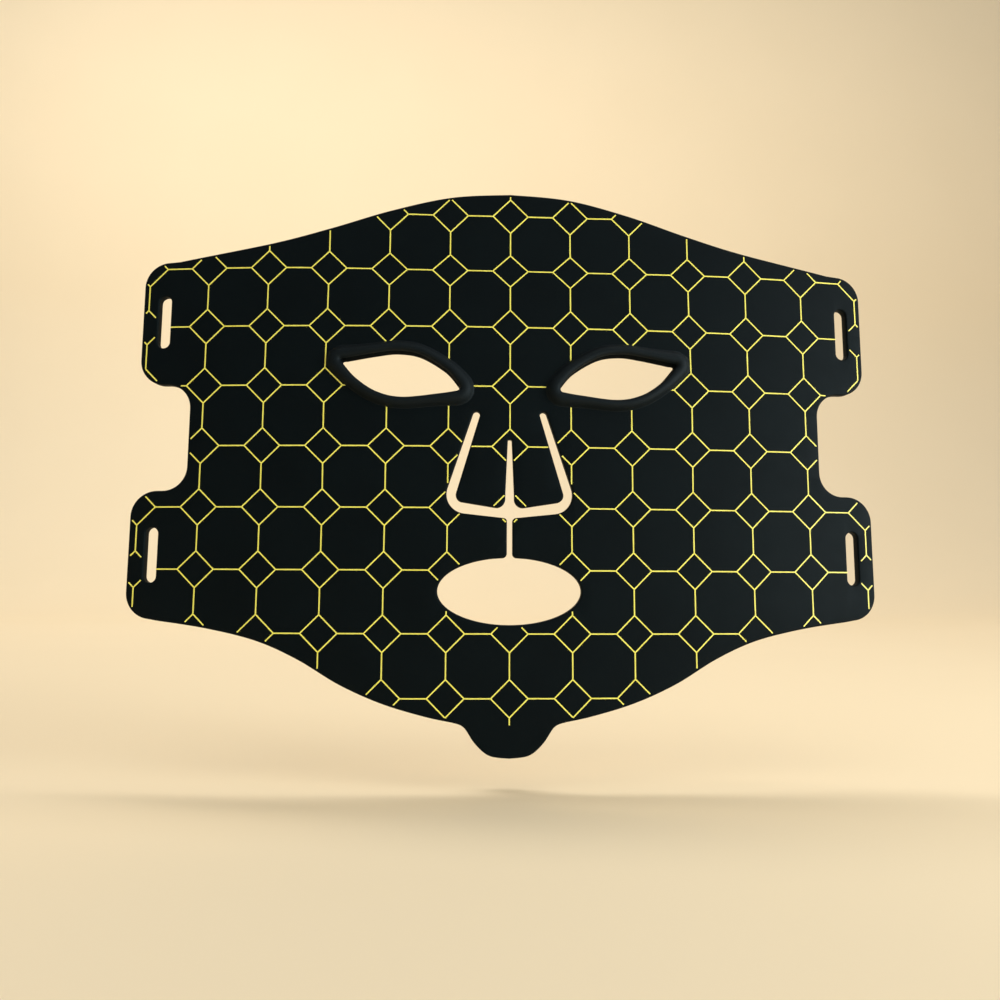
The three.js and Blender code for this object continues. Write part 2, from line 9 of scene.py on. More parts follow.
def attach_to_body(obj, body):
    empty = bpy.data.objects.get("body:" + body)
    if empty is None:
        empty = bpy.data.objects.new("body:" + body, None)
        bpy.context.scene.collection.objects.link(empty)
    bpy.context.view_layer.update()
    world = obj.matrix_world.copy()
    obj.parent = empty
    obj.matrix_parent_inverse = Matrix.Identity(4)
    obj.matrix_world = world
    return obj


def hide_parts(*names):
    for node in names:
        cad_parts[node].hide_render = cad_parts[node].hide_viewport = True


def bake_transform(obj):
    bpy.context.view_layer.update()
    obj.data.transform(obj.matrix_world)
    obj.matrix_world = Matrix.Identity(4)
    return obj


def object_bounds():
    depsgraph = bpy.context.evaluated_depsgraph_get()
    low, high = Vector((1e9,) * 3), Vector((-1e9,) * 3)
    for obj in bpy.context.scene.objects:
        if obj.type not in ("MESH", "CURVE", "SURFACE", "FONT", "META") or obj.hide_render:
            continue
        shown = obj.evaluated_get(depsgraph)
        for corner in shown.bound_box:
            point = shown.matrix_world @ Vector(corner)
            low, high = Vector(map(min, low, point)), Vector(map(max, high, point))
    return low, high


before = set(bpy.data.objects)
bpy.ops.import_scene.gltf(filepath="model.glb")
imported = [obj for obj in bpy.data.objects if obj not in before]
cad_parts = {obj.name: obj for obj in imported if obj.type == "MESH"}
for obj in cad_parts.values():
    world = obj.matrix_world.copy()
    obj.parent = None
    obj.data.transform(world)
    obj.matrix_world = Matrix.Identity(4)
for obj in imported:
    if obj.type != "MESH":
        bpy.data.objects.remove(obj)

cad_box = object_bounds()

# The sheet is drawn flat, in millimetres, and then bent. u runs across the sheet, v runs up it and
# w runs through it, from the wearer's side (0) to the printed front (THICKNESS).

MM = 0.001
UV_SPAN = 300                       # the flat layout's UVs go from 0 to 1 over this length
WELD = 1e-4                         # points closer than this are one
RIGHT_ANGLE = math.pi / 2

PITCH = 22.5                        # of the printed grid
THICKNESS = 3.2
FRONT_SKIN = 1.0
REAR_SKIN = 0.7
EDGE_WALL = 1.4                     # the front skin's fold round each edge
FRONT_ROUND = 0.55                  # radii of the sheet's edges
REAR_ROUND = 0.5
REAR_SKIN_ROUND = 0.3
REAR_SKIN_GAP = 0.15                # between the rear skin and the fold round it
CURVE_SQUARE = 3.6e-4               # how the sheet curves back: u squared and u to the fourth
CURVE_FOURTH = 4.9e-9
CURVE_END = 5.25 * PITCH            # it is straight from here on

UPPER_TAB_SIDE = 137.1
LOWER_TAB_SIDE = 137.8
NOTCH_EDGE = 117.5
NOTCH_TOP = 0.5
NOTCH_BOTTOM = -39
TAB_RADIUS = 9.5
NOTCH_RADIUS = 8.9
UPPER_TAB_TOP = 46.4
LOWER_TAB_BOTTOM = -84.5
TOP_EDGE = [(0, 74.6), (22, 73), (45, 67.5), (67.5, 60.4), (90, 54.4), (124, 48)]
BOTTOM_EDGE = [(126, -85.9), (108, -88.5), (90, -92.7), (75, -99.1), (60, -107.8), (45, -114.3),
               (30, -118.7), (20, -120.8)]
CHIN_TAB_EDGE = [(20, -120.8), (16, -122.4), (12, -128), (7, -132.1), (0, -133.1)]

SLOT_WIDTH = 4.7
SLOT_HEIGHT = 20
SLOT_CENTRES = [(128.9, 24.6), (129.4, -62.4)]

TAB_SEAM = 5.25 * PITCH
TAB_SPLIT_V = -19.4                 # between the upper and the lower tabs
TAB_CUT = TAB_SEAM - 0.6            # where the tabs' own pieces start
FLAP_BLEND = 7.5                    # length of the flaps' bending zone
FLAP_STEPS = 8                      # rows of faces in it

EYE_UPPER_EDGE = [(19.2, 0.6), (23.9, 5.9), (33, 11.3), (41.3, 12.7), (49, 11.9), (60.4, 9.8)]
EYE_LOWER_EDGE = [(61.8, 8.6), (56.5, 2.6), (48.8, -2.5), (39.5, -4.5), (26.2, -3.1), (20, -2.1)]
EYE_INNER_CORNER = (17.6, -1.8)
EYE_OUTER_CORNER = (62.9, 9.8)
EYE_HOLE_OFFSET = 2.3               # from the eye opening out to the hole in the sheet
GUARD_NECK = 2.0                    # the guard's wall inside that hole
GUARD_BEAD = 4.0
GUARD_CORNER_EXTRA = 1.1            # how much wider the bead is at the eye's corners
GUARD_CORNER_REACH = 8
GUARD_RISE = 2.4
GUARD_LIP = 1.1                     # how far the lip stands out on the wearer's side
GUARD_LIP_REACH = 3.6

MOUTH_V = -75
MOUTH_HALF_WIDTH = 25.9
MOUTH_HALF_HEIGHT = 12
LIP_SLIT = 1.0                      # half the width of the slit down to the mouth
FLAP_ROOT_TIP = (0, -20)
FLAP_ROOT_TOP = (10.9, -10.7)
NOSE_SLIT_TOP = (12.3, -10.6)
NOSE_SLIT_TOP_RADIUS = 1.3
NOSE_OPENING_CORNER = (25.4, -46.1)
NOSE_OPENING_RADIUS = 7.2
NOSE_OPENING_BOTTOM = -48.7
FLAP_OUTER_CORNER = (20.3, -42.4)
FLAP_INNER_CORNER = (1.6, -45.4)

LINE_WIDTH = 0.46                   # printed lines
INK = 0.05
INK_DEPTH = 0.02                    # how far the lines reach into the skin
DIAMOND = PITCH * (1 - 1 / math.sqrt(2))  # half a diamond's diagonal
PRINT_BOTTOM = -121.7               # the chin tab is plain
OUTLINE_MARGIN = 1.0                # bare strips along the edges
MOUTH_MARGIN = 0.8
NOSE_MARGIN = 0.38
NOSE_BOTTOM = -55                   # what lies above is nose, and below it mouth
SLOT_OUTER_MARGIN = 0.9
SLOT_INNER_MARGIN = 0.1
GUARD_OVERLAP = 0.35                # how far the lines run in under the guards' thin feet
FOREHEAD_DROP = 1.8                 # how far the print lies off its grid at most
CHEEK_SPREAD = 0.55

ARC_STEP = math.radians(7)          # the longest step along an arc
ROUND_POINTS = 24                   # points of a small circle


# ---------------------------------------------------------------- flat outlines

def spline(points, divisions):
    """A uniform Catmull-Rom curve through the points."""
    pts = np.array(points, float)
    last = len(pts) - 1
    out = []
    for i in range(divisions + 1):
        place = last * i / divisions
        k = min(int(place), last - 1)
        t = place - k
        p0, p1, p2, p3 = pts[max(k - 1, 0)], pts[k], pts[k + 1], pts[min(k + 2, last)]
        v0, v1 = (p2 - p0) / 2, (p3 - p1) / 2
        out.append((2 * p1 - 2 * p2 + v0 + v1) * t**3 + (3 * p2 - 3 * p1 - 2 * v0 - v1) * t**2
                   + v0 * t + p1)
    return np.array(out)


def round_corner(before, corner, after, radius):
    """Points of the arc that rounds the corner between two straight edges."""
    before, corner, after = (np.array(p[:2], float) for p in (before, corner, after))
    back = (before - corner) / np.linalg.norm(before - corner)
    ahead = (after - corner) / np.linalg.norm(after - corner)
    half = math.acos(float(np.clip(back @ ahead, -1, 1))) / 2
    middle = (back + ahead) / np.linalg.norm(back + ahead)
    centre = corner + middle * radius / math.sin(half)
    start = corner + back * radius / math.tan(half) - centre
    turn = -np.sign(back[0] * ahead[1] - back[1] * ahead[0])
    sweep = turn * (math.pi - 2 * half)
    steps = max(3, math.ceil(abs(sweep) / ARC_STEP))
    angles = np.linspace(0, sweep, steps + 1)
    return np.array([centre + (start[0] * math.cos(a) - start[1] * math.sin(a),
                               start[0] * math.sin(a) + start[1] * math.cos(a)) for a in angles])


def rounded(corners, closed=True):
    """A path through corners (u, v, radius), where a corner with no radius stays sharp."""
    out = []
    for i, corner in enumerate(corners):
        if len(corner) == 2 or (not closed and i in (0, len(corners) - 1)):
            out.append(np.array([corner[:2]], float))
        else:
            after = corners[(i + 1) % len(corners)]
            out.append(round_corner(corners[i - 1], corner, after, corner[2]))
    return np.concatenate(out)


def resampled(loop, spacing, closed=True):
    """The same path with its long edges split to about the given spacing."""
    ends = np.roll(loop, -1, axis=0) if closed else loop[1:]
    out = []
    for start, end in zip(loop, ends):
        steps = max(1, math.ceil(np.linalg.norm(end - start) / spacing))
        out.extend(start + (end - start) * k / steps for k in range(steps))
    if not closed:
        out.append(loop[-1])
    return np.array(out)


def without_repeats(loop, least=0.02):
    keep = np.linalg.norm(loop - np.roll(loop, 1, axis=0), axis=1) > least
    return loop[keep]


def mirrored(loop):
    return (loop * (-1, 1))[::-1]


def closed_loop(right_half):
    """Joins the right half of an outline, from top to bottom, to its mirror image."""
    return anticlockwise(without_repeats(np.concatenate([right_half, mirrored(right_half)])))


def anticlockwise(loop):
    ahead = np.roll(loop, -1, axis=0)
    area = np.sum(loop[:, 0] * ahead[:, 1] - loop[:, 1] * ahead[:, 0])
    return loop if area > 0 else loop[::-1]


def outward(loop):
    """The outward mitre of each point of an anticlockwise loop."""
    before = loop - np.roll(loop, 1, axis=0)
    after = np.roll(loop, -1, axis=0) - loop
    before /= np.linalg.norm(before, axis=1)[:, None]
    after /= np.linalg.norm(after, axis=1)[:, None]
    along = before + after
    along /= np.linalg.norm(along, axis=1)[:, None]
    normal = np.stack([along[:, 1], -along[:, 0]], axis=1)
    return normal / np.maximum(np.sum(along * after, axis=1), 0.5)[:, None]


def sheet_loop():
    sides = rounded([
        (NOTCH_EDGE, UPPER_TAB_TOP + 3),
        (UPPER_TAB_SIDE, UPPER_TAB_TOP, TAB_RADIUS),
        (UPPER_TAB_SIDE, NOTCH_TOP, TAB_RADIUS),
        (NOTCH_EDGE, NOTCH_TOP, NOTCH_RADIUS),
        (NOTCH_EDGE, NOTCH_BOTTOM, NOTCH_RADIUS),
        (LOWER_TAB_SIDE, NOTCH_BOTTOM, TAB_RADIUS),
        (LOWER_TAB_SIDE, LOWER_TAB_BOTTOM, TAB_RADIUS),
        (NOTCH_EDGE, LOWER_TAB_BOTTOM - 2),
    ], closed=False)[1:-1]
    right = np.concatenate([spline(TOP_EDGE, 50), sides, spline(BOTTOM_EDGE, 56),
                            spline(CHIN_TAB_EDGE, 26)[1:]])
    return closed_loop(resampled(right, 4, closed=False))


def nose_and_mouth_loop():
    """One opening: the slits round the two nose flaps, the slit under the nose and the mouth."""
    arc_angles = np.linspace(math.radians(196), math.radians(12), 14)
    slit_top = np.array([(NOSE_SLIT_TOP[0] + NOSE_SLIT_TOP_RADIUS * math.cos(a),
                          NOSE_SLIT_TOP[1] + NOSE_SLIT_TOP_RADIUS * math.sin(a))
                         for a in arc_angles])
    flap = rounded([
        (0, -19.7),
        (0.72, -19.7, 0.5),
        (FLAP_INNER_CORNER[0], FLAP_INNER_CORNER[1] + 5, 30),
        (*FLAP_INNER_CORNER, 3.2),
        (*FLAP_OUTER_CORNER, 2.6),
        tuple(slit_top[0]),
    ], closed=False)
    lip_top = MOUTH_V + MOUTH_HALF_HEIGHT
    opening = rounded([
        tuple(slit_top[-1]),
        (*NOSE_OPENING_CORNER, NOSE_OPENING_RADIUS),
        (LIP_SLIT, NOSE_OPENING_BOTTOM, 1.3),
        (LIP_SLIT, lip_top, 1.6),
        (5.2, lip_top - 0.25),
    ], closed=False)
    angles = np.linspace(RIGHT_ANGLE - 0.23, -RIGHT_ANGLE, 60)
    mouth = np.array([(MOUTH_HALF_WIDTH * math.cos(a), MOUTH_V + MOUTH_HALF_HEIGHT * math.sin(a))
                      for a in angles])
    right = np.concatenate([flap[:-1], slit_top, opening[1:-1], mouth])
    return closed_loop(resampled(right, 3, closed=False))


def slot_loop(side, centre):
    low, high = centre[1] - SLOT_HEIGHT / 2, centre[1] + SLOT_HEIGHT / 2
    left, right = side * centre[0] - SLOT_WIDTH / 2, side * centre[0] + SLOT_WIDTH / 2
    radius = 0.49 * SLOT_WIDTH
    loop = rounded([(left, low, radius), (right, low, radius), (right, high, radius),
                    (left, high, radius)])
    return without_repeats(resampled(loop, 3))


def quadratic(start, control, end, steps):
    t = np.linspace(0, 1, steps + 1)[:, None]
    start, control, end = (np.array(p, float) for p in (start, control, end))
    return start * (1 - t) ** 2 + control * 2 * t * (1 - t) + end * t**2


def eye_loop():
    """The right eye opening, anticlockwise, with points 0.4 mm apart."""
    lower, upper = EYE_LOWER_EDGE[::-1], EYE_UPPER_EDGE[::-1]
    path = np.concatenate([
        spline(lower, 120)[:-1],
        quadratic(lower[-1], EYE_OUTER_CORNER, upper[0], 24)[:-1],
        spline(upper, 120)[:-1],
        quadratic(upper[-1], EYE_INNER_CORNER, lower[0], 24)[:-1],
    ])
    closed = np.concatenate([path, path[:1]])
    lengths = np.concatenate([[0], np.cumsum(np.linalg.norm(np.diff(closed, axis=0), axis=1))])
    at = np.linspace(0, lengths[-1], 280, endpoint=False)
    return np.stack([np.interp(at, lengths, closed[:, k]) for k in (0, 1)], axis=1)


OUTLINE = sheet_loop()
NOSE_AND_MOUTH = nose_and_mouth_loop()
SLOTS = [slot_loop(side, centre) for side in (-1, 1) for centre in SLOT_CENTRES]
RIGHT_EYE = eye_loop()
EYES = [mirrored(RIGHT_EYE), RIGHT_EYE]
EYE_HOLES = [eye + outward(eye) * EYE_HOLE_OFFSET for eye in EYES]


# ---------------------------------------------------------------- bending the sheet

def sheet_slope(u):
    a = np.clip(u, -CURVE_END, CURVE_END)
    return 2 * CURVE_SQUARE * a + 4 * CURVE_FOURTH * a**3


def on_sheet(flat):
    """Flat points (u, v, w) in millimetres, as points of the object's frame in metres."""
    flat = np.asarray(flat, float).reshape(-1, 3)
    u, v, w = flat.T
    a = np.minimum(np.abs(u), CURVE_END)
    depth = CURVE_SQUARE * a**2 + CURVE_FOURTH * a**4 + sheet_slope(a) * (np.abs(u) - a)
    angle = np.arctan(sheet_slope(u))
    return np.stack([u + w * np.sin(angle), depth - w * np.cos(angle), v], axis=1) * MM


# ---------------------------------------------------------------- sections of the sheet

# What belongs to the right nose flap, and directions along its root and down from it.
FLAP_ZONE = np.array([FLAP_ROOT_TIP, FLAP_ROOT_TOP, (12.3, -10.6), (21.6, -40), (21.4, -43.6),
                      (17, -46), (0, -47)], float)
ROOT_ALONG = np.array(FLAP_ROOT_TOP, float) - FLAP_ROOT_TIP
ROOT_ALONG /= np.linalg.norm(ROOT_ALONG)
ROOT_DOWN = np.array([ROOT_ALONG[1], -ROOT_ALONG[0]])


def inside(points, loop):
    """Whether each point lies inside a closed loop."""
    x, y = np.atleast_2d(points).T[:, :, None]
    x0, y0 = loop.T
    x1, y1 = np.roll(loop, -1, axis=0).T
    spans = (y0 > y) != (y1 > y)
    crossing = x0 + (x1 - x0) * (y - y0) / np.where(y0 == y1, 1, y1 - y0)
    return np.count_nonzero(spans & (crossing > x), axis=1) % 2 == 1


def loop_distance(points, loop):
    """How far each point is from the nearest point of a closed loop."""
    from_start = np.atleast_2d(points)[:, None] - loop
    edge = np.roll(loop, -1, axis=0) - loop
    along = np.clip(np.sum(from_start * edge, axis=2) / np.sum(edge**2, axis=1), 0, 1)
    return np.min(np.linalg.norm(from_start - edge * along[..., None], axis=2), axis=1)


def sections_of(points):
    """The section of the sheet that each point belongs to: a half, a tab or a nose flap."""
    points = np.atleast_2d(points)
    u, v = points.T
    side = np.where(u < 0, "left", "right")
    upper = np.where(v > TAB_SPLIT_V, "_upper_tab", "_lower_tab")
    flap = np.where(inside(np.stack([np.abs(u), v], axis=1), FLAP_ZONE), "_nose_flap", "")
    return np.char.add(side, np.where(np.abs(u) > TAB_CUT, upper, flap))


def attach(obj, section):
    """Bakes a piece of the sheet's placement into its mesh, the same way for every section."""
    if section.endswith("_tab"):
        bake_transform(obj)
    elif section.endswith("_flap"):
        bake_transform(obj)
    else:
        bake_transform(obj)


def cut_lines():
    """Where the sheet is split across, finer where it bends."""
    half = np.concatenate([
        np.arange(0, 66, 6.0),
        np.arange(66, 100, 2.5),
        np.arange(102, 117, 5.0),
        [TAB_CUT],
        np.arange(TAB_CUT + 0.9, 127, 1.1),
        [132.0],
    ])
    return np.concatenate([-half[:0:-1], half])


def bisect(bm, place, normal, faces=None):
    faces = list(bm.faces) if faces is None else faces
    edges = list({e for f in faces for e in f.edges})
    verts = list({v for f in faces for v in f.verts})
    bmesh.ops.bisect_plane(bm, geom=faces + edges + verts, dist=WELD, plane_co=place,
                           plane_no=normal)


def near_flap(face, sign):
    """Whether a face lies round the nose flap on one side."""
    middle = face.calc_center_median()
    return 0 < sign * middle.x < 24 and -46 < middle.y < -5


def split_for_bending(bm):
    """Splits a layer up, down and along the nose flaps' roots, so that it bends smoothly."""
    for u in cut_lines():
        bisect(bm, (u, 0, 0), (1, 0, 0))
    for v in np.arange(-120, 80, 16.0):
        bisect(bm, (0, v, 0), (0, 1, 0))
    for sign in (-1, 1):
        for k in range(FLAP_STEPS + 1):
            u, v = np.array(FLAP_ROOT_TIP) + ROOT_DOWN * k * FLAP_BLEND / FLAP_STEPS
            faces = [face for face in bm.faces if near_flap(face, sign)]
            bisect(bm, (sign * u, v, 0), (sign * ROOT_DOWN[0], ROOT_DOWN[1], 0), faces)


# ---------------------------------------------------------------- mesh helpers

def mesh_object(name, bm, materials, smooth_angle=35):
    """A flat bmesh becomes an object on the bent sheet, with the flat layout kept as its UVs."""
    bm.normal_update()
    layer = bm.loops.layers.uv.new("flat")
    for face in bm.faces:
        for loop in face.loops:
            loop[layer].uv = (loop.vert.co.x / UV_SPAN + 0.5, loop.vert.co.y / UV_SPAN + 0.5)
    mesh = bpy.data.meshes.new(name)
    bm.to_mesh(mesh)
    flat = np.empty(len(mesh.vertices) * 3)
    mesh.vertices.foreach_get("co", flat)
    mesh.vertices.foreach_set("co", on_sheet(flat).ravel())
    return finish_object(name, mesh, materials, smooth_angle)


def finish_object(name, mesh, materials, smooth_angle):
    mesh.update()
    for made in materials:
        mesh.materials.append(made)
    mesh.shade_smooth()
    mesh.set_sharp_from_angle(angle=math.radians(smooth_angle))
    obj = bpy.data.objects.new(name, mesh)
    bpy.context.scene.collection.objects.link(obj)
    return obj


def by_section(name, bm, materials, nodes_of, smooth_angle=35):
    """Splits a whole layer into one closed piece for each section, and hides that section's CAD
    nodes.
    """
    bm.faces.index_update()
    sections = sections_of([face.calc_center_median().xy for face in bm.faces])
    for section in np.unique(sections):
        part = bm.copy()
        gone = [face for face, own in zip(part.faces, sections) if own != section]
        bmesh.ops.delete(part, geom=gone, context="FACES")
        ends = [edge for edge in part.edges if edge.is_boundary]
        bmesh.ops.holes_fill(part, edges=ends, sides=0)
        bmesh.ops.dissolve_degenerate(part, dist=1e-3, edges=part.edges)
        obj = mesh_object(f"{name}_{section}", part, materials, smooth_angle)
        part.free()
        attach(obj, str(section))
        if nodes_of(section):
            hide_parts(*nodes_of(section))


def offset_loop(loop, into, inset):
    """A loop moved into the material, with the knots that form at tight corners drawn together."""
    moved = loop + into * inset
    if inset == 0:
        return moved
    clear = np.flatnonzero(loop_distance(moved, loop) > 0.97 * inset - 0.01)
    for before, after in zip(clear, np.roll(clear, -1)):
        between = np.arange(before + 1, before + (after - before) % len(loop)) % len(loop)
        moved[between] = (moved[before] + moved[after]) / 2
    return moved


def bridge(bm, here, after):
    """The faces between two rings with the same number of points."""
    count = len(here)
    return [bm.faces.new((here[i], here[(i + 1) % count], after[(i + 1) % count], after[i]))
            for i in range(count)]


def loft(bm, rings):
    """A closed skin over rings with the same number of points."""
    for here, after in zip(rings, rings[1:]):
        bridge(bm, here, after)
    bm.faces.new(rings[0][::-1])
    return bm.faces.new(rings[-1])


def layer_mesh(loops):
    """A plate whose edges follow profiles. loops is a list of (loop, is_hole, profile), where a
    profile lists (inset, w) from the top face's edge round to the bottom face's edge. All the
    profiles start at one height and end at one height."""
    bm = bmesh.new()
    for loop, is_hole, profile in loops:
        into = outward(loop) * (1 if is_hole else -1)
        rings = [[bm.verts.new((*p, w)) for p in offset_loop(loop, into, inset)]
                 for inset, w in profile]
        for upper, lower in zip(rings, rings[1:]):
            bridge(bm, upper, lower)
    bmesh.ops.remove_doubles(bm, verts=bm.verts, dist=WELD)
    top, bottom = profile[0][1], profile[-1][1]
    for height in (top, bottom):
        edges = [edge for edge in bm.edges if edge.is_boundary
                 and all(abs(vert.co.z - height) < 1e-5 for vert in edge.verts)]
        bmesh.ops.triangle_fill(bm, use_beauty=True, use_dissolve=False, edges=edges)
    bmesh.ops.recalc_face_normals(bm, faces=bm.faces)
    return bm


def front_round(radius):
    """The profile of a rounded edge, from the front face over to the side wall."""
    return [(radius * (1 - math.sin(a)), THICKNESS - radius * (1 - math.cos(a)))
            for a in np.linspace(0, RIGHT_ANGLE, 5)]


def rear_round(radius, inset=0):
    """The profile of a rounded edge, from the side wall round to the rear face."""
    return [(inset + radius * (1 - math.cos(a)), radius * (1 - math.sin(a)))
            for a in np.linspace(0, RIGHT_ANGLE, 4)]


# ---------------------------------------------------------------- materials

class Nodes:
    """A short way to write a material's node tree."""

    def __init__(self, name):
        self.material = bpy.data.materials.new(name)
        self.material.use_nodes = True
        self.tree = self.material.node_tree
        self.shader = self.tree.nodes["Principled BSDF"]

    def add(self, kind, **settings):
        node = self.tree.nodes.new(kind)
        for key, value in settings.items():
            if key in node.inputs:
                node.inputs[key].default_value = value
            else:
                setattr(node, key, value)
        return node

    def link(self, source, output, target, socket):
        self.tree.links.new(source.outputs[output], target.inputs[socket])

    def set(self, **values):
        for key, value in values.items():
            self.shader.inputs[key.replace("_", " ")].default_value = value

    def flat_place(self):
        """Coordinates of the flat layout, which don't slide as the sheet bends."""
        return self.add("ShaderNodeUVMap", uv_map="flat"), "UV"

    def object_place(self):
        return self.add("ShaderNodeTexCoord"), "Object"

    def noise(self, place, scale, detail):
        node = self.add("ShaderNodeTexNoise", Scale=scale, Detail=detail)
        self.link(*place, node, "Vector")
        return node

    def colour(self, noise, stops):
        """Colours between the stops, which are pairs of a noise value and a colour."""
        node = self.add("ShaderNodeValToRGB")
        elements = node.color_ramp.elements
        while len(elements) < len(stops):
            elements.new(0.5)
        for element, (at, colour) in zip(elements, stops):
            element.position = at
            element.color = (*colour, 1)
        self.link(noise, "Fac", node, "Fac")
        self.link(node, "Color", self.shader, "Base Color")

    def rough(self, noise, low, high):
        node = self.add("ShaderNodeMapRange")
        node.inputs["To Min"].default_value = low
        node.inputs["To Max"].default_value = high
        self.link(noise, "Fac", node, "Value")
        self.link(node, "Result", self.shader, "Roughness")

    def bump(self, source, distance, strength, output="Fac"):
        node = self.add("ShaderNodeBump", Strength=strength, Distance=distance)
        self.link(source, output, node, "Height")
        self.link(node, "Normal", self.shader, "Normal")


def silicone(name, dark, light, low, high, grain=900):
    """Moulded silicone: an even colour with faint mottling and a very fine grain."""
    m = Nodes(name)
    place = m.flat_place()
    m.colour(m.noise(place, 14, 3), [(0.3, dark), (0.7, light)])
    m.rough(m.noise(place, 40, 4), low, high)
    m.bump(m.noise(place, grain, 2), 0.00003, 0.35)
    return m


def black_silicone():
    m = silicone("black_silicone", (0.0006, 0.0020, 0.0026), (0.0010, 0.0030, 0.0038), 0.56, 0.66)
    m.set(Specular_IOR_Level=0.1, Specular_Tint=(0.78, 0.95, 1.0, 1.0))
    return m.material


def guard_silicone(name, low, high, specular):
    """The guards' black, a shade lighter than the sheet's. low and high are its roughness."""
    m = Nodes(name)
    place = m.object_place()
    m.colour(m.noise(place, 60, 3),
             [(0.3, (0.0010, 0.0026, 0.0034)), (0.7, (0.0016, 0.0036, 0.0046))])
    m.rough(m.noise(place, 150, 3), low, high)
    m.bump(m.noise(place, 3000, 2), 0.00003, 0.3)
    m.set(Specular_IOR_Level=specular, Specular_Tint=(0.78, 0.93, 1.0, 1.0))
    return m.material


def clear_silicone():
    m = silicone("clear_silicone", (0.56, 0.58, 0.59), (0.64, 0.66, 0.67), 0.34, 0.46, 500)
    m.set(Alpha=0.2, IOR=1.41)
    return m.material


def lens_silicone():
    m = silicone("lens_silicone", (0.72, 0.73, 0.72), (0.80, 0.81, 0.80), 0.16, 0.24, 700)
    m.set(Alpha=0.12, IOR=1.41)
    return m.material


def yellow_ink():
    m = Nodes("yellow_ink")
    place = m.flat_place()
    m.colour(m.noise(place, 60, 4), [(0.3, (0.92, 0.82, 0.11)), (0.7, (0.97, 0.90, 0.16))])
    m.rough(m.noise(place, 300, 3), 0.38, 0.55)
    m.bump(m.noise(place, 1500, 2), 0.00001, 0.3)
    return m.material


def circuit_film():
    """Amber film with fine parallel copper runs under it."""
    m = Nodes("circuit_film")
    place = m.flat_place()
    m.colour(m.noise(place, 30, 3), [(0.3, (0.40, 0.23, 0.09)), (0.7, (0.47, 0.28, 0.12))])
    m.rough(m.noise(place, 80, 3), 0.3, 0.45)
    runs = m.add("ShaderNodeTexWave", Scale=60.0, wave_type="BANDS", bands_direction="Y")
    m.link(*place, runs, "Vector")
    m.bump(runs, 0.00003, 0.4, "Color")
    return m.material


def copper_trace():
    m = Nodes("copper_trace")
    place = m.flat_place()
    m.colour(m.noise(place, 90, 3), [(0.3, (0.62, 0.30, 0.14)), (0.7, (0.74, 0.40, 0.20))])
    m.rough(m.noise(place, 400, 2), 0.28, 0.42)
    m.set(Metallic=1.0)
    return m.material


def led_white():
    m = Nodes("led_white")
    place = m.flat_place()
    m.colour(m.noise(place, 200, 2), [(0.3, (0.74, 0.74, 0.70)), (0.7, (0.82, 0.82, 0.79))])
    m.rough(m.noise(place, 500, 2), 0.35, 0.5)
    return m.material


def led_phosphor():
    m = Nodes("led_phosphor")
    place = m.flat_place()
    m.colour(m.noise(place, 260, 3), [(0.3, (0.86, 0.66, 0.10)), (0.7, (0.90, 0.74, 0.18))])
    m.rough(m.noise(place, 500, 2), 0.2, 0.3)
    m.set(Coat_Weight=0.6, Coat_Roughness=0.08)
    return m.material


def dark_plastic(name, tone, low, high):
    m = Nodes(name)
    place = m.object_place()
    bright = tuple(c * 1.4 for c in tone)
    m.colour(m.noise(place, 300, 3), [(0.3, tone), (0.7, bright)])
    m.rough(m.noise(place, 500, 3), low, high)
    m.bump(m.noise(place, 5000, 2), 0.00004, 0.4)
    return m.material


def plated_steel():
    m = Nodes("plated_steel")
    place = m.object_place()
    stretched = m.add("ShaderNodeMapping", Scale=(1, 1, 14))
    m.link(*place, stretched, "Vector")
    grain = m.noise((stretched, "Vector"), 400, 3)
    m.colour(grain, [(0.3, (0.52, 0.53, 0.54)), (0.7, (0.66, 0.67, 0.68))])
    m.rough(grain, 0.22, 0.36)
    m.set(Metallic=1.0)
    return m.material


def gold_contact():
    m = Nodes("gold_contact")
    place = m.object_place()
    m.colour(m.noise(place, 900, 2), [(0.3, (0.80, 0.56, 0.20)), (0.7, (0.90, 0.66, 0.28))])
    m.rough(m.noise(place, 900, 2), 0.2, 0.32)
    m.set(Metallic=1.0)
    return m.material


def green_board():
    m = Nodes("green_board")
    place = m.object_place()
    m.colour(m.noise(place, 600, 3), [(0.4, (0.010, 0.085, 0.030)), (0.6, (0.018, 0.13, 0.05))])
    m.rough(m.noise(place, 900, 2), 0.3, 0.42)
    return m.material


# ---------------------------------------------------------------- the sheet's layers

def body_names(section):
    """The CAD bodies that a section of the sheet lies on."""
    side = section.split("_")[0]
    return [section] if "_" in section else ["centre", f"{side}_wing"]


def front_skin(material):
    """Opaque skin, folded round every edge of the sheet on to its rear."""
    ceiling = THICKNESS - FRONT_SKIN
    edge = front_round(FRONT_ROUND) + rear_round(REAR_ROUND)
    edge += [(EDGE_WALL, 0), (EDGE_WALL, ceiling)]
    straight = [(0, THICKNESS), (0, ceiling)]
    loops = [(OUTLINE, False, edge), (NOSE_AND_MOUTH, True, edge)]
    loops += [(slot, True, edge) for slot in SLOTS]
    loops += [(hole, True, straight) for hole in EYE_HOLES]
    bm = layer_mesh(loops)
    split_for_bending(bm)
    by_section("front_skin", bm, [material],
               lambda section: [f"{body}_front_skin" for body in body_names(section)])
    bm.free()


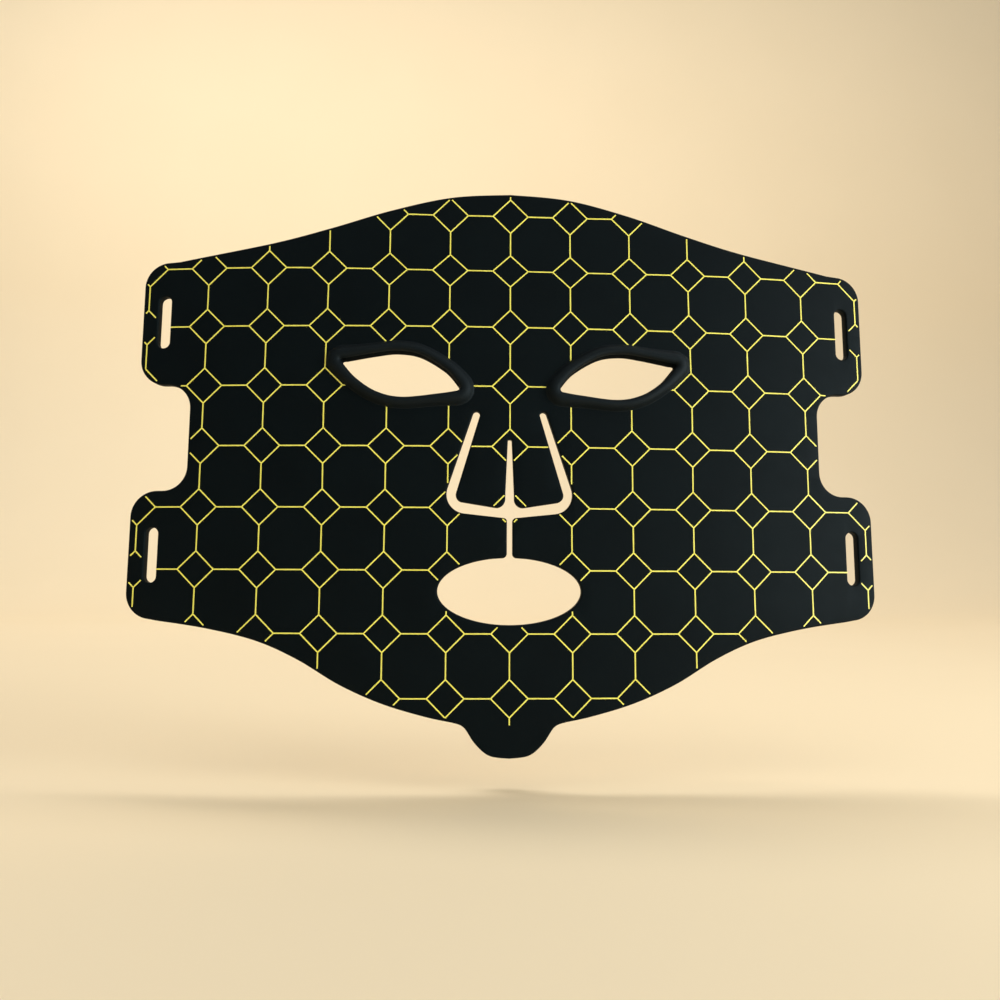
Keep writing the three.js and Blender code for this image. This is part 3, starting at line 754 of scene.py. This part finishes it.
def rear_skin(material):
    """Clear skin, set into the rear of the front skin."""
    inset = EDGE_WALL + REAR_SKIN_GAP
    edge = [(inset, REAR_SKIN)] + rear_round(REAR_SKIN_ROUND, inset)
    loops = [(OUTLINE, False, edge), (NOSE_AND_MOUTH, True, edge)]
    loops += [(slot, True, edge) for slot in SLOTS]
    straight = [(0, REAR_SKIN), (0, 0)]
    loops += [(hole, True, straight) for hole in EYE_HOLES]
    bm = layer_mesh(loops)
    split_for_bending(bm)
    by_section("rear_skin", bm, [material],
               lambda section: [f"{body}_rear_skin" for body in body_names(section)])
    bm.free()


# ---------------------------------------------------------------- printed pattern

def print_shift(points):
    """How far the print lies from a regular pattern: its top rows are a little lower in the middle
    of the forehead, and the cheeks' rows a little further out."""
    u, v = points.T
    forehead = smoothstep((v - 30) / 32) * (1 - smoothstep((np.abs(u) - 20) / 75))
    cheek = np.exp(-(((np.abs(u) - 70) / 18) ** 2) - ((v + 5) / 28) ** 2)
    return np.stack([np.sign(u) * CHEEK_SPREAD * cheek, -FOREHEAD_DROP * forehead], axis=1)


def smoothstep(t):
    t = np.clip(t, 0, 1)
    return t * t * (3 - 2 * t)


def is_printed(points):
    """Where the printed lines run: inside the sheet and clear of its edges and openings."""
    u, v = points.T
    shown = inside(points, OUTLINE) & (loop_distance(points, OUTLINE) > OUTLINE_MARGIN)
    shown &= v > PRINT_BOTTOM
    margin = np.where(v < NOSE_BOTTOM, MOUTH_MARGIN, NOSE_MARGIN)
    shown &= ~inside(points, NOSE_AND_MOUTH) & (loop_distance(points, NOSE_AND_MOUTH) > margin)
    for eye in EYES:
        rim = guard_width(np.abs(u), v) - GUARD_OVERLAP
        shown &= ~inside(points, eye) & (loop_distance(points, eye) > rim)
    for slot, centre in zip(SLOTS, SLOT_CENTRES * 2):
        rim = np.where(np.abs(u) > centre[0], SLOT_OUTER_MARGIN, SLOT_INNER_MARGIN)
        shown &= ~inside(points, slot) & (loop_distance(points, slot) > rim)
    return shown


def pattern_edges():
    """The edges of diamonds at every grid point and the lines that join them, which leave octagons
    between them."""
    across = np.array([PITCH, 0])
    up = np.array([0, PITCH])
    for i in range(-7, 8):
        for j in range(-7, 5):
            centre = np.array([i, j]) * PITCH
            right, top = centre + (DIAMOND, 0), centre + (0, DIAMOND)
            left, bottom = centre - (DIAMOND, 0), centre - (0, DIAMOND)
            yield right, top
            yield top, left
            yield left, bottom
            yield bottom, right
            yield right, left + across
            yield top, bottom + up


def printed_runs(start, end, step=0.15):
    """The stretches of an edge that are printed, as pairs of shares from 0 to 1."""
    count = math.ceil(np.linalg.norm(end - start) / step)
    points = start + (end - start) * np.linspace(0, 1, count + 1)[:, None]
    shown = is_printed(points + print_shift(points))
    runs, first = [], None
    for k, on in enumerate([*shown, False]):
        if on and first is None:
            first = k
        if not on and first is not None:
            if k - 1 > first + 2:
                runs.append((first / count, (k - 1) / count))
            first = None
    return runs


def add_line(bm, start, end, runs):
    """A printed line with mitred ends where it meets the others, and square ends where it stops."""
    along = (end - start) / np.linalg.norm(end - start)
    beside = np.array([-along[1], along[0]]) * LINE_WIDTH / 2
    mitre = mitres(along)
    for low, high in runs:
        a, b = start + (end - start) * low, start + (end - start) * high
        first, last = [a + beside, a - beside], [b - beside, b + beside]
        if low == 0:
            first = [a + beside + along * mitre[0], a, a - beside + along * mitre[1]]
        if high == 1:
            last = [b - beside - along * mitre[0], b, b + beside - along * mitre[1]]
        outline = np.array([*first, *last])
        outline += print_shift(outline)
        top = [bm.verts.new((*p, THICKNESS + INK)) for p in outline]
        foot = [bm.verts.new((*p, THICKNESS - INK_DEPTH)) for p in outline]
        loft(bm, [top, foot])


def mitres(along):
    """How far the left and right sides of a line stop short of the point where it meets two others.
    Every point joins two sides of a diamond, which has its inside on their left, and one line along
    the grid, 135 degrees from both."""
    half = LINE_WIDTH / 2
    wide = half / math.tan(math.radians(67.5))
    is_along_grid = min(abs(along)) < 1e-6
    return (wide, wide) if is_along_grid else (half, wide)


def printed_pattern(material):
    bm = bmesh.new()
    for start, end in pattern_edges():
        add_line(bm, start, end, printed_runs(start, end))
    bmesh.ops.recalc_face_normals(bm, faces=bm.faces)
    split_for_bending(bm)
    by_section("printed_lines", bm, [material], lambda section: [])
    bm.free()


# ---------------------------------------------------------------- eye guards

def guard_width(u, v):
    """The bead is a little wider round the two corners of the eye."""
    width = GUARD_BEAD
    for corner in (EYE_INNER_CORNER, EYE_OUTER_CORNER):
        away = np.hypot(u - corner[0], v - corner[1])
        width = width + GUARD_CORNER_EXTRA * np.exp(-((away / GUARD_CORNER_REACH) ** 2))
    return width


# The bead from its soft outer foot over the crest to its inner edge, in shares of width and rise.
GUARD_CROWN = spline([(1.07, 0.008), (1.02, 0.06), (0.97, 0.18), (0.9, 0.37), (0.8, 0.62),
                      (0.66, 0.84), (0.5, 0.97), (0.35, 1.0), (0.2, 0.94), (0.08, 0.76),
                      (0.01, 0.45)], 22)


def guard_section(width):
    """Offsets from the eye opening and heights, round the guard's cross-section."""
    crown = [(width * share, THICKNESS + GUARD_RISE * height) for share, height in GUARD_CROWN]
    inner = [(0, THICKNESS - 0.4), (0, THICKNESS / 2), (0, -GUARD_LIP + 0.5),
             (0.15, -GUARD_LIP + 0.15), (0.5, -GUARD_LIP)]
    lip = [(1.8, -GUARD_LIP - 0.05), (GUARD_LIP_REACH - 0.6, -GUARD_LIP),
           (GUARD_LIP_REACH - 0.2, -GUARD_LIP + 0.15), (GUARD_LIP_REACH, -GUARD_LIP + 0.5),
           (GUARD_LIP_REACH, -0.02), (GUARD_NECK, -0.02), (GUARD_NECK, THICKNESS)]
    return crown + inner + lip


def eye_guard(side, materials):
    """A soft moulded rim. Its bead takes the first material, and its walls and lip the second."""
    bm = bmesh.new()
    rings = []
    for point, normal in zip(RIGHT_EYE, outward(RIGHT_EYE)):
        ring = []
        for offset, w in guard_section(guard_width(*point)):
            flat = point + normal * offset
            ring.append(bm.verts.new((side * flat[0], flat[1], w)))
        rings.append(ring)
    for here, after in zip(rings, rings[1:] + rings[:1]):
        for face in bridge(bm, here, after)[len(GUARD_CROWN) - 1:]:
            face.material_index = 1
    bmesh.ops.recalc_face_normals(bm, faces=bm.faces)
    name = "left_eye_guard" if side < 0 else "right_eye_guard"
    obj = mesh_object(f"{name}_moulding", bm, materials, 50)
    bm.free()
    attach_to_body(obj, "centre")
    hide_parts(name)


# ---------------------------------------------------------------- circuit and LEDs

LED_LENGTH = 3.5
LED_WIDTH = 2.8
LED_HEIGHT = 0.55
LED_SQUARENESS = 0.28               # 1 would make an ellipse, 0 a rectangle
LED_RECESS = 1.15                   # radius of the recess in its face
LED_MARGIN = 4.4                    # least distance from a centre to an edge of the sheet
LENS_RADIUS = 3.1
LENS_HEIGHT = 0.42
FEED_LINE_OFFSET = 0.8              # from the row's middle line to each feed line's
FEED_LINE_WIDTH = 0.4
FEED_LINE_START = 1.4               # under the package, from its centre
LAYER_GAP = 0.25
CIRCUIT = 0.2
CIRCUIT_INSET = 3.6
CIRCUIT_EYE_INSET = 1.2
LED_TOP = THICKNESS - FRONT_SKIN - 2 * LAYER_GAP - CIRCUIT
LED_BOTTOM = LED_TOP - LED_HEIGHT
CIRCUIT_BOTTOM = LED_TOP + LAYER_GAP


def led_centres():
    """One LED under each diamond and one under each octagon, where the sheet leaves room."""
    grid = np.array([(i, j) for j in range(-12, 13) for i in range(-12, 13) if (i + j) % 2 == 0])
    centres = grid * PITCH / 2
    holes = [NOSE_AND_MOUTH, *SLOTS, *[eye + outward(eye) * GUARD_NECK for eye in EYES]]
    room = inside(centres, OUTLINE) & (np.abs(centres[:, 0]) < TAB_SEAM - LED_MARGIN)
    for loop in [OUTLINE, *holes]:
        room &= loop_distance(centres, loop) > LED_MARGIN
    for hole in holes:
        room &= ~inside(centres, hole)
    return centres[room]


def oval_ring(bm, centre, half_length, half_width, w, power=1):
    """A ring of points round a centre: an ellipse, or squarer with a power below 1."""
    ring = []
    for a in 2 * math.pi * np.arange(ROUND_POINTS) / ROUND_POINTS:
        c, s = math.cos(a), math.sin(a)
        u = math.copysign(abs(c) ** power, c) * half_length
        v = math.copysign(abs(s) ** power, s) * half_width
        ring.append(bm.verts.new((centre[0] + u, centre[1] + v, w)))
    return ring


def add_led(bm, centre):
    """A package with rounded corners and a round recess that holds the phosphor."""
    rings = [oval_ring(bm, centre, LED_LENGTH / 2 * size, LED_WIDTH / 2 * size, w, LED_SQUARENESS)
             for size, w in ((1, LED_TOP), (1, LED_BOTTOM + 0.08), (0.96, LED_BOTTOM))]
    rings += [oval_ring(bm, centre, radius, radius, w)
              for radius, w in ((LED_RECESS, LED_BOTTOM), (LED_RECESS - 0.2, LED_BOTTOM + 0.16))]
    phosphor = loft(bm, rings)
    phosphor.material_index = 1


def add_trace(bm, low, high):
    """A flat copper run between two corners."""
    (u0, v0), (u1, v1) = low, high
    corners = [(u0, v0), (u1, v0), (u1, v1), (u0, v1)]
    rings = [[bm.verts.new((*p, w)) for p in corners] for w in (LED_TOP - 0.05, LED_TOP + 0.1)]
    loft(bm, rings)
    for face in {face for vert in rings[0] + rings[1] for face in vert.link_faces}:
        face.material_index = 2


LED_ZONES = {
    "left": ["forehead_led_array", "nose_bridge_led_array", "chin_led_array",
             "left_cheek_led_array", "left_wing_led_array"],
    "right": ["forehead_led_array", "nose_bridge_led_array", "chin_led_array",
              "right_cheek_led_array", "right_wing_led_array"],
    "left_nose_flap": ["left_nose_flap_led"],
    "right_nose_flap": ["right_nose_flap_led"],
}


def led_arrays(materials, lens_material):
    """The LED packages with a pair of feed lines along each row, and a low lens over each."""
    packages, lenses = bmesh.new(), bmesh.new()
    centres = list(led_centres())
    for centre in centres:
        add_led(packages, centre)
        add_lens(lenses, centre)
    for centre in centres:
        for step in (-1, 1):
            neighbour = centre + (step * PITCH / 2, 0)
            between = centre + np.arange(2, PITCH / 2, 0.75)[:, None] * (step, 0)
            own, next_to = sections_of([centre, neighbour])
            if own == next_to and np.all(is_covered(between)):
                left, right = sorted((centre[0] + step * FEED_LINE_START, neighbour[0]))
                for middle in (centre[1] - FEED_LINE_OFFSET, centre[1] + FEED_LINE_OFFSET):
                    add_trace(packages, (left, middle - FEED_LINE_WIDTH / 2),
                              (right, middle + FEED_LINE_WIDTH / 2))
    bmesh.ops.recalc_face_normals(packages, faces=packages.faces)
    for u in cut_lines():
        faces = [f for f in packages.faces if f.material_index == 2]
        bisect(packages, (u, 0, 0), (1, 0, 0), faces)
    by_section("led_array", packages, materials, lambda section: LED_ZONES[section])
    bmesh.ops.recalc_face_normals(lenses, faces=lenses.faces)
    by_section("led_lenses", lenses, [lens_material], lambda section: [], 60)
    packages.free()
    lenses.free()


def is_covered(points):
    """Where the circuit lies in the sheet."""
    covered = inside(points, OUTLINE) & (loop_distance(points, OUTLINE) > CIRCUIT_INSET)
    near_eye = CIRCUIT_EYE_INSET + 0.1
    for loop, clear in [(NOSE_AND_MOUTH, CIRCUIT_INSET)] + [(hole, near_eye) for hole in EYE_HOLES]:
        covered &= ~inside(points, loop) & (loop_distance(points, loop) > clear)
    return covered & (np.abs(points[:, 0]) < TAB_CUT - 1)


def add_lens(bm, centre):
    """A low dome in the clear skin over an LED. Its base stays open until by_section closes it."""
    rings = []
    for share in (1.0, 0.97, 0.85, 0.65, 0.4, 0.15):
        w = -LENS_HEIGHT * (1 - share**2) ** 0.6 if share < 1 else 0.03
        rings.append(oval_ring(bm, centre, LENS_RADIUS * share, LENS_RADIUS * share, w))
    for here, after in zip(rings, rings[1:]):
        bridge(bm, here, after)
    bm.faces.new(rings[-1])


def flex_circuit(material):
    """The film between the skins, which stops short of the tabs."""
    edge = [(CIRCUIT_INSET, CIRCUIT_BOTTOM + CIRCUIT), (CIRCUIT_INSET, CIRCUIT_BOTTOM)]
    near_eye = [(CIRCUIT_EYE_INSET, w) for _, w in edge]
    loops = [(OUTLINE, False, edge), (NOSE_AND_MOUTH, True, edge)]
    loops += [(hole, True, near_eye) for hole in EYE_HOLES]
    bm = layer_mesh(loops)
    for sign in (1, -1):
        geom = list(bm.faces) + list(bm.edges) + list(bm.verts)
        bmesh.ops.bisect_plane(bm, geom=geom, dist=WELD, plane_co=(sign * (TAB_CUT - 0.4), 0, 0),
                               plane_no=(sign, 0, 0), clear_outer=True)
    split_for_bending(bm)
    by_section("flex_circuit", bm, [material],
               lambda section: [f"{body}_flex_circuit" for body in body_names(section)])
    bm.free()


# ---------------------------------------------------------------- charging socket

HOUSING_SIDE = 7.5
HOUSING_FRONT = 0.3
HOUSING_REAR = 5.9
HOUSING_BOTTOM = -131.4
HOUSING_TOP = -118.0
HOUSING_RADIUS = 1.8
HOUSING_STRAIGHT = 6.5              # from its mouth up to where it starts to slope
CAVITY_SIDE = 4.77
CAVITY_FRONT = 1.22
CAVITY_REAR = 4.98
TONGUE_SIDE = 3.3
TONGUE_FRONT = 2.75
TONGUE_REAR = 3.45
TONGUE_BOTTOM = -130.0
TONGUE_TOP = -124.4
CONTACTS = 6                        # on each face of the tongue


def bar_ring(bm, side, front, rear, radius, height):
    """A rounded rectangle round the socket's axis, at one height."""
    corners = [(side, front), (side, rear), (-side, rear), (-side, front)]
    return [bm.verts.new((x * MM, y * MM, height * MM))
            for x, y in rounded([(*corner, radius) for corner in corners])]


def solid_object(name, bm, materials, node):
    bmesh.ops.recalc_face_normals(bm, faces=bm.faces)
    mesh = bpy.data.meshes.new(name)
    bm.to_mesh(mesh)
    bm.free()
    obj = finish_object(name, mesh, materials, 40)
    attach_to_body(obj, "centre")
    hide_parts(node)


def socket_housing(material):
    """A moulded boot that slopes down to the sheet, with a grip groove and a chamfered mouth."""
    bm = bmesh.new()
    rings = [bar_ring(bm, CAVITY_SIDE, CAVITY_FRONT, CAVITY_REAR, 1.8, height)
             for height in (HOUSING_TOP - 0.8, HOUSING_BOTTOM + 0.5)]
    rings.append(bar_ring(bm, CAVITY_SIDE + 0.4, CAVITY_FRONT - 0.4, CAVITY_REAR + 0.4, 2.0,
                          HOUSING_BOTTOM))
    outer = [(0.6 * (1 - math.sin(a)), HOUSING_BOTTOM + 0.6 * (1 - math.cos(a)))
             for a in np.linspace(0, RIGHT_ANGLE, 7)]
    outer += [(0, HOUSING_BOTTOM + 2.4), (0.22, HOUSING_BOTTOM + 2.6), (0.22, HOUSING_BOTTOM + 3.0),
              (0, HOUSING_BOTTOM + 3.2), (0, HOUSING_BOTTOM + HOUSING_STRAIGHT)]
    for inset, height in outer:
        rings.append(bar_ring(bm, HOUSING_SIDE - inset, HOUSING_FRONT + min(inset, 0.1),
                              HOUSING_REAR - inset, HOUSING_RADIUS, height))
    shoulder = HOUSING_BOTTOM + HOUSING_STRAIGHT
    for a in np.linspace(0, RIGHT_ANGLE, 12)[1:]:
        height = shoulder + (HOUSING_TOP - shoulder) * math.sin(a)
        slope = 1 - math.cos(a)
        rear = HOUSING_REAR - 3.6 * slope
        radius = min(HOUSING_RADIUS, (rear - HOUSING_FRONT) * 0.45)
        rings.append(bar_ring(bm, HOUSING_SIDE - 1.2 * slope, HOUSING_FRONT, rear, radius, height))
    loft(bm, rings)
    solid_object("socket_boot", bm, [material], "socket_housing")


def socket_tongue(plastic, gold):
    """The blade inside the socket, with a row of contacts on each face."""
    bm = bmesh.new()
    profile = [(0.2, TONGUE_BOTTOM), (0.06, TONGUE_BOTTOM + 0.12), (0, TONGUE_BOTTOM + 0.35),
               (0, TONGUE_TOP - 0.1), (0.1, TONGUE_TOP)]
    loft(bm, [bar_ring(bm, TONGUE_SIDE - inset, TONGUE_FRONT + inset, TONGUE_REAR - inset, 0.14,
                       height) for inset, height in profile])
    body_faces = len(bm.faces)
    for k in range(CONTACTS):
        left = k - (CONTACTS - 1) / 2 - 0.25
        right = left + 0.5
        for face_y in (TONGUE_FRONT, TONGUE_REAR):
            low, high = face_y - 0.05, face_y + 0.05
            corners = ((left, low), (right, low), (right, high), (left, high))
            loft(bm, [[bm.verts.new((x * MM, y * MM, height * MM)) for x, y in corners]
                      for height in (TONGUE_BOTTOM + 0.5, TONGUE_BOTTOM + 3.6)])
    for face in list(bm.faces)[body_faces:]:
        face.material_index = 1
    solid_object("socket_blade", bm, [plastic, gold], "socket_tongue")


# ---------------------------------------------------------------- camera, lights, floor

CAMERA_PLACE = Vector((-0.01576, -0.27879, -0.07319))
CAMERA_AHEAD = Vector((0.04392, 0.99274, 0.11198))
CAMERA_UP = Vector((-0.00906, -0.11168, 0.99370))
CAMERA_LENS = 27.596

FLOOR_GAP = 0.012                   # under the object
FLOOR_START = -6
WALL_PLACE = 2.6
WALL_HEIGHT = 5
SWEEP_RADIUS = 1.2
BACKDROP_SIDE = 30


def camera():
    data = bpy.data.cameras.new("photo_camera")
    data.lens = CAMERA_LENS
    data.sensor_width = 36
    data.clip_start, data.clip_end = 0.01, 50
    obj = bpy.data.objects.new("photo_camera", data)
    right = CAMERA_AHEAD.cross(CAMERA_UP)
    turned = Matrix((right, CAMERA_UP, -CAMERA_AHEAD)).transposed().to_4x4()
    obj.matrix_world = Matrix.Translation(CAMERA_PLACE) @ turned
    bpy.context.scene.collection.objects.link(obj)
    bpy.context.scene.camera = obj


def area_light(name, place, size, power, colour, aim=(0, 0, -0.02), spread=180):
    data = bpy.data.lights.new(name, "AREA")
    data.shape = "RECTANGLE"
    data.size, data.size_y = size
    data.energy = power
    data.color = colour
    data.spread = math.radians(spread)
    obj = bpy.data.objects.new(name, data)
    obj.location = place
    obj.rotation_euler = (Vector(aim) - Vector(place)).to_track_quat("-Z", "Y").to_euler()
    bpy.context.scene.collection.objects.link(obj)


def studio():
    """Cool grazing light from the right, a warm one above, and a wide one on the wall."""
    area_light("key_light", (1.05, -0.65, 0.0), (0.6, 0.22), 3.05, (0.90, 0.97, 1.0), spread=90)
    area_light("side_light", (1.0, -0.45, 0.4), (0.5, 0.5), 0.8, (0.93, 0.98, 1.0), spread=90)
    area_light("top_light", (-0.1, -0.7, 1.2), (1.0, 0.6), 2.3, (1.0, 0.90, 0.74))
    area_light("backdrop_light", (-0.2, 0.4, 2.3), (4.4, 0.8), 66, (1.0, 0.98, 0.94),
               (0.3, 2.4, 0.5))
    world = bpy.data.worlds.new("studio")
    world.use_nodes = True
    background = world.node_tree.nodes["Background"]
    background.inputs["Color"].default_value = (0.84, 0.92, 1.0, 1)
    background.inputs["Strength"].default_value = 0.33
    bpy.context.scene.world = world
    bpy.context.scene.view_settings.view_transform = "Standard"
    backdrop()


def backdrop():
    """A pale floor that sweeps up into a wall behind the object."""
    height = cad_box[0].z - FLOOR_GAP
    sweep = [(WALL_PLACE - SWEEP_RADIUS * (1 - math.sin(a)),
              height + SWEEP_RADIUS * (1 - math.cos(a))) for a in np.linspace(0, RIGHT_ANGLE, 33)]
    profile = [(FLOOR_START, height), *sweep, (WALL_PLACE, WALL_HEIGHT)]
    bm = bmesh.new()
    rows = [[bm.verts.new((x, y, z)) for y, z in profile] for x in (-BACKDROP_SIDE, BACKDROP_SIDE)]
    for i in range(len(profile) - 1):
        bm.faces.new((rows[0][i], rows[1][i], rows[1][i + 1], rows[0][i + 1]))
    mesh = bpy.data.meshes.new("backdrop")
    bm.to_mesh(mesh)
    bm.free()
    m = Nodes("pale_paper")
    place = m.object_place()
    m.colour(m.noise(place, 3, 2), [(0.3, (0.92, 0.76, 0.52)), (0.7, (0.93, 0.77, 0.53))])
    m.rough(m.noise(place, 20, 2), 0.7, 0.8)
    m.set(Specular_IOR_Level=0.1)
    finish_object("backdrop", mesh, [m.material], 80)


# ---------------------------------------------------------------- making it all

camera()
studio()

front_skin(black_silicone())
rear_skin(clear_silicone())
flex_circuit(circuit_film())
led_arrays([led_white(), led_phosphor(), copper_trace()], lens_silicone())
printed_pattern(yellow_ink())
guard_materials = [guard_silicone("guard_silicone", 0.60, 0.70, 0.20),
                   guard_silicone("matte_guard_silicone", 0.85, 0.92, 0.02)]
for side in (-1, 1):
    eye_guard(side, guard_materials)

plastic = dark_plastic("black_plastic", (0.010, 0.011, 0.013), 0.38, 0.5)
socket_housing(plastic)
socket_tongue(plastic, gold_contact())
carried_over = {
    "socket_shell": plated_steel(),
    "socket_board": green_board(),
    "circuit_tail": dark_plastic("amber_film", (0.26, 0.12, 0.02), 0.3, 0.4),
}
for node, material in carried_over.items():
    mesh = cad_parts[node].data
    mesh.materials.clear()
    mesh.materials.append(material)
